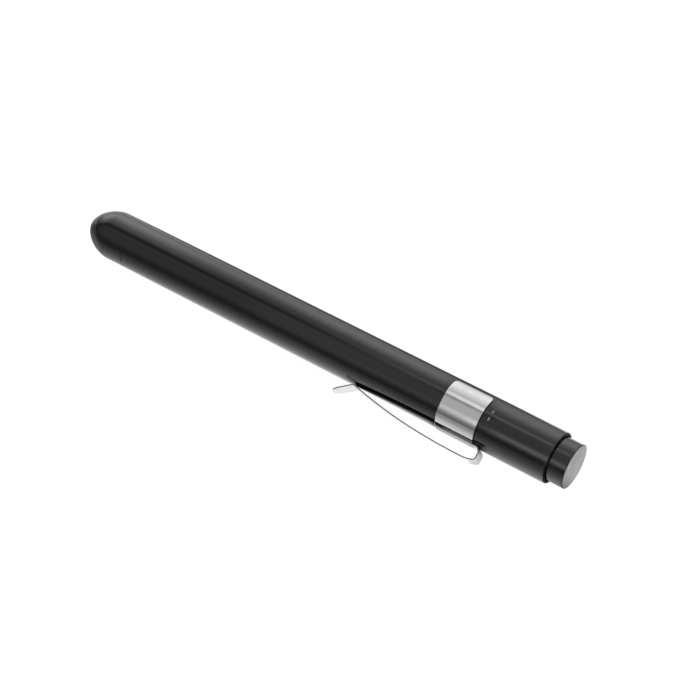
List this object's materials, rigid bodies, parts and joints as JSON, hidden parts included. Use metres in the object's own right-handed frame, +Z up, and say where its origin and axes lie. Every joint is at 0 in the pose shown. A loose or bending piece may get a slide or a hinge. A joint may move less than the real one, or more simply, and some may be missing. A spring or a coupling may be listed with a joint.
{
  "type": "penlight",
  "caption": "Slim penlight with a domed screw-on nose, gloss black barrel, satin steel pocket clip with a flared lip, and a push button in the tail.",
  "frame": {"origin": "on the pen's axis, in the plane of the seam between the nose and the barrel", "axes": "+X along the pen from the nose to the tail button, +Z up as the pen lies on a table on its clip, and the clip on the -Y side"},
  "size_m": [0.1475, 0.017, 0.0138],
  "materials": {
    "black_lacquer": "gloss black lacquer on a metal tube",
    "black_plastic": "gloss black",
    "satin_steel": "satin stainless spring steel",
    "satin_aluminium": "satin grey",
    "clear_lens": "clear, polished",
    "bright_reflector": "bright plating",
    "lamp_resin": "clear resin over a pale yellow emitter",
    "board_green": "matt",
    "chip_dark": "matt, with bright ends",
    "brass": "turned brass",
    "ivory_plastic": "moulded, matt",
    "nickel": "nickel plated",
    "cell_jacket": "plain jacket film",
    "seal_rubber": "matt black"
  },
  "bodies": {
    "barrel_body": {"barrel": "black_lacquer", "front_cell": "cell_jacket", "front_cell_cap": "nickel", "rear_cell": "cell_jacket", "rear_cell_cap": "nickel", "battery_spring": "nickel", "contact_cup": "ivory_plastic", "tail_contact": "brass", "tail_sleeve": "black_lacquer", "switch_base": "brass", "return_spring": "nickel", "clip_band": "satin_steel", "clip_bend": "satin_steel"},
    "button_body": {"push_button": "black_plastic", "button_disc": "satin_aluminium", "moving_contact": "brass", "contact_rivet": "nickel"},
    "clip_body": {"clip_leaf": "satin_steel"},
    "lamp_body": {"lamp_holder": "brass", "led": "lamp_resin", "led_board": "board_green", "led_resistor": "chip_dark", "lamp_insulator": "ivory_plastic", "front_contact_spring": "brass"},
    "nose_body": {"nose_shell": "black_lacquer", "nose_lens": "clear_lens", "reflector": "bright_reflector", "nose_o_ring": "seal_rubber"}
  },
  "joints": [
    {"name": "button_press", "type": "slide", "parent": "barrel_body", "child": "button_body", "axis": [-1, 0, 0], "range_m": [0, 0.002], "stiffness_N_per_m": 750, "springref_m": -0.002, "deforming": ["return_spring"]},
    {"name": "clip_flex", "type": "hinge", "parent": "barrel_body", "child": "clip_body", "pos_m": [0.11123, -0.00806, -0.00439], "axis": [0, -0.4783, 0.8782], "range_deg": [0, 5], "stiffness_Nm_per_rad": 0.8, "springref_deg": -1.15},
    {"name": "lamp_slide", "type": "slide", "parent": "barrel_body", "child": "lamp_body", "axis": [-1, 0, 0], "range_m": [0, 0.004]},
    {"name": "nose_turn", "type": "hinge", "parent": "lamp_body", "child": "nose_body", "pos_m": [0, 0, 0], "axis": [-1, 0, 0], "range_deg": [0, 720]}
  ],
  "couplings": [
    {"joint": "lamp_slide", "follows": "nose_turn", "m_per_rad": 0.0003183}
  ]
}
